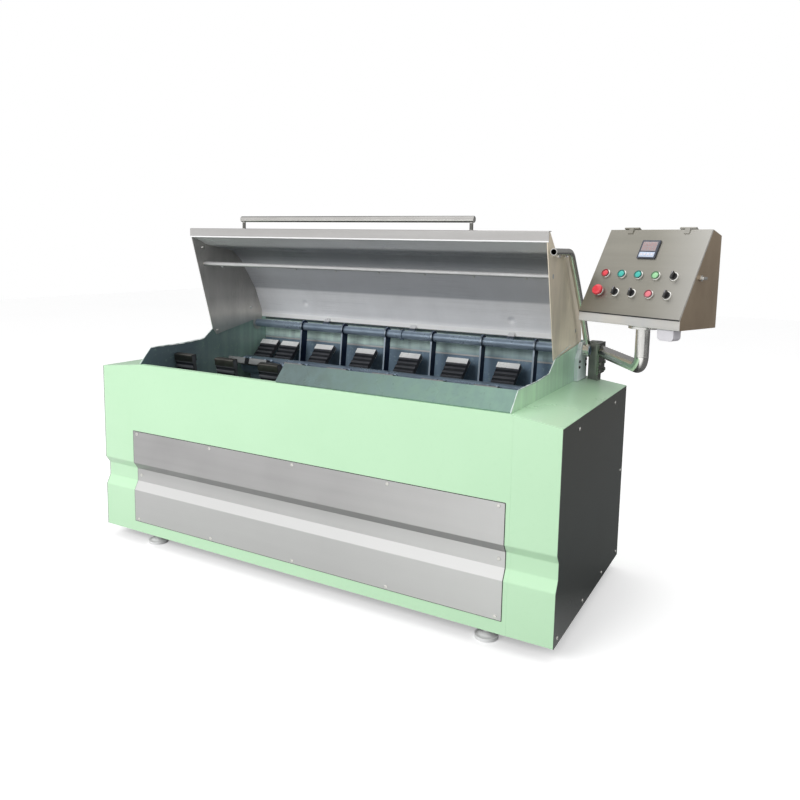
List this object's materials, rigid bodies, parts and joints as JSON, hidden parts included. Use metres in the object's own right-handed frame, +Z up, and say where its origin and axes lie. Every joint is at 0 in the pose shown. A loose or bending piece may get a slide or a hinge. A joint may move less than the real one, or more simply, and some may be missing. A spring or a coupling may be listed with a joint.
{
  "type": "pig dehairing machine",
  "caption": "Free-standing double-roller pig dehairing machine with rubber paddle drums, tipping stainless hood and a swivelling control console.",
  "frame": {"origin": "middle of the whole machine footprint, on the floor", "axes": "+X along the cabinet to the console end, +Y from the operator side to the back, +Z up"},
  "size_m": [2.4544, 0.873, 1.4445],
  "materials": {
    "green_paint": "semi-gloss blue-green paint",
    "dark_paint": "glossy dark grey-green paint",
    "brushed_stainless": "brushed stainless sheet",
    "bright_tube": "bright polished tube",
    "blue_grey_steel": "satin blue-grey paint",
    "zinc_hardware": "bright plated hardware",
    "claw_steel": "worn bright steel",
    "paddle_rubber": "matt black rubber",
    "cast_housing": "painted cast iron",
    "motor_paint": "satin machine paint",
    "chain_steel": "oiled dark steel",
    "pale_plastic": "pale moulded plastic",
    "display_plastic": "black moulded plastic with a red figure window",
    "red_plastic": "glossy red plastic",
    "pink_plastic": "glossy pinkish red plastic",
    "teal_plastic": "glossy teal plastic",
    "green_plastic": "glossy light green plastic",
    "black_plastic": "glossy black plastic"
  },
  "bodies": {
    "cabinet": {"base_frame": "dark_paint", "levelling_feet": "zinc_hardware", "front_surround": "green_paint", "left_corner_panel": "green_paint", "right_corner_panel": "green_paint", "service_panel": "brushed_stainless", "cover_screws": "zinc_hardware", "left_side_panel": "dark_paint", "right_side_panel": "dark_paint", "back_panel": "green_paint", "end_decks": "green_paint", "left_trough_wall": "green_paint", "right_trough_wall": "green_paint", "rear_liner": "blue_grey_steel", "front_apron": "green_paint", "hair_chute": "brushed_stainless", "comb_ribs": "blue_grey_steel", "drum_bearings": "cast_housing", "hood_bearings": "green_paint", "gearmotor": "motor_paint", "drive_chain": "chain_steel", "drum_chain": "chain_steel", "arm_bracket": "blue_grey_steel", "arm_pipe": "bright_tube"},
    "hood": {"hood_shell": "brushed_stainless", "hood_left_plate": "brushed_stainless", "hood_right_plate": "brushed_stainless", "hood_front_rail": "brushed_stainless", "hood_handle": "bright_tube", "hood_shaft": "blue_grey_steel", "spray_pipe": "bright_tube", "hood_arm_tube": "bright_tube", "hood_bolts": "zinc_hardware"},
    "rear_roller": {"rear_drum": "blue_grey_steel", "rear_paddles": "paddle_rubber", "rear_claws": "claw_steel", "rear_sprockets": "chain_steel"},
    "front_roller": {"front_drum": "blue_grey_steel", "front_paddles": "paddle_rubber", "front_claws": "claw_steel", "front_sprockets": "chain_steel"},
    "motor_output": {"motor_sprocket": "chain_steel"},
    "console": {"console_body": "brushed_stainless", "console_hinges": "zinc_hardware", "swivel_collar": "bright_tube", "cable_entry": "pale_plastic"},
    "console_door": {"console_lid": "brushed_stainless", "display": "display_plastic", "operator_rings": "zinc_hardware"},
    "catch": {"lid_catch": "zinc_hardware"},
    "red_button": {"red_button": "red_plastic"},
    "first_teal_button": {"first_teal_button": "teal_plastic"},
    "second_teal_button": {"second_teal_button": "teal_plastic"},
    "green_button": {"green_button": "green_plastic"},
    "first_selector": {"first_selector": "black_plastic"},
    "stop_button": {"stop_button": "red_plastic"},
    "second_selector": {"second_selector": "black_plastic"},
    "third_selector": {"third_selector": "black_plastic"},
    "pink_button": {"pink_button": "pink_plastic"},
    "fourth_selector": {"fourth_selector": "black_plastic"}
  },
  "joints": [
    {"name": "hood_hinge", "type": "hinge", "parent": "cabinet", "child": "hood", "pos_m": [-0.15366, 0.3325, 0.925], "axis": [1, 0, 0], "range_deg": [0, 47.5]},
    {"name": "rear_roller_spin", "type": "hinge", "parent": "cabinet", "child": "rear_roller", "pos_m": [-0.15366, 0.2365, 0.723], "axis": [1, 0, 0], "continuous": true},
    {"name": "front_roller_spin", "type": "hinge", "parent": "cabinet", "child": "front_roller", "pos_m": [-0.15366, -0.2065, 0.675], "axis": [1, 0, 0], "continuous": true},
    {"name": "motor_output_spin", "type": "hinge", "parent": "cabinet", "child": "motor_output", "pos_m": [-1.07416, -0.2015, 0.245], "axis": [1, 0, 0], "continuous": true},
    {"name": "console_swivel", "type": "hinge", "parent": "cabinet", "child": "console", "pos_m": [0.99784, 0.0195, 1.078], "axis": [0, 0, 1], "range_deg": [-60, 60]},
    {"name": "console_door_hinge", "type": "hinge", "parent": "console", "child": "console_door", "pos_m": [0.83784, 0.15499, 1.40835], "axis": [-0.9219, 0.3875, 0], "range_deg": [0, 95]},
    {"name": "catch_turn", "type": "hinge", "parent": "console", "child": "catch", "pos_m": [1.18284, -0.05651, 1.2454], "axis": [0.9219, -0.3875, 0], "range_deg": [0, 90]},
    {"name": "red_button_press", "type": "slide", "parent": "console_door", "child": "red_button", "axis": [0.3373, 0.8023, -0.4924], "range_m": [0, 0.003], "stiffness_N_per_m": 1000, "springref_m": -0.001},
    {"name": "first_teal_button_press", "type": "slide", "parent": "console_door", "child": "first_teal_button", "axis": [0.3373, 0.8023, -0.4924], "range_m": [0, 0.003], "stiffness_N_per_m": 1000, "springref_m": -0.001},
    {"name": "second_teal_button_press", "type": "slide", "parent": "console_door", "child": "second_teal_button", "axis": [0.3373, 0.8023, -0.4924], "range_m": [0, 0.003], "stiffness_N_per_m": 1000, "springref_m": -0.001},
    {"name": "green_button_press", "type": "slide", "parent": "console_door", "child": "green_button", "axis": [0.3373, 0.8023, -0.4924], "range_m": [0, 0.003], "stiffness_N_per_m": 1000, "springref_m": -0.001},
    {"name": "first_selector_turn", "type": "hinge", "parent": "console_door", "child": "first_selector", "pos_m": [1.10103, -0.055, 1.24646], "axis": [-0.3373, -0.8023, 0.4924], "range_deg": [-45, 45]},
    {"name": "stop_button_press", "type": "slide", "parent": "console_door", "child": "stop_button", "axis": [0.3373, 0.8023, -0.4924], "range_m": [0, 0.004], "stiffness_N_per_m": 1000, "springref_m": -0.001},
    {"name": "second_selector_turn", "type": "hinge", "parent": "console_door", "child": "second_selector", "pos_m": [0.9008, -0.00876, 1.18467], "axis": [-0.3373, -0.8023, 0.4924], "range_deg": [-45, 45]},
    {"name": "third_selector_turn", "type": "hinge", "parent": "console_door", "child": "third_selector", "pos_m": [0.96303, -0.03492, 1.18467], "axis": [-0.3373, -0.8023, 0.4924], "range_deg": [-45, 45]},
    {"name": "pink_button_press", "type": "slide", "parent": "console_door", "child": "pink_button", "axis": [0.3373, 0.8023, -0.4924], "range_m": [0, 0.003], "stiffness_N_per_m": 1000, "springref_m": -0.001},
    {"name": "fourth_selector_turn", "type": "hinge", "parent": "console_door", "child": "fourth_selector", "pos_m": [1.08748, -0.08723, 1.18467], "axis": [-0.3373, -0.8023, 0.4924], "range_deg": [-45, 45]}
  ],
  "couplings": [
    {"joint": "front_roller_spin", "follows": "rear_roller_spin", "ratio": 1},
    {"joint": "motor_output_spin", "follows": "rear_roller_spin", "ratio": 1.2857}
  ]
}
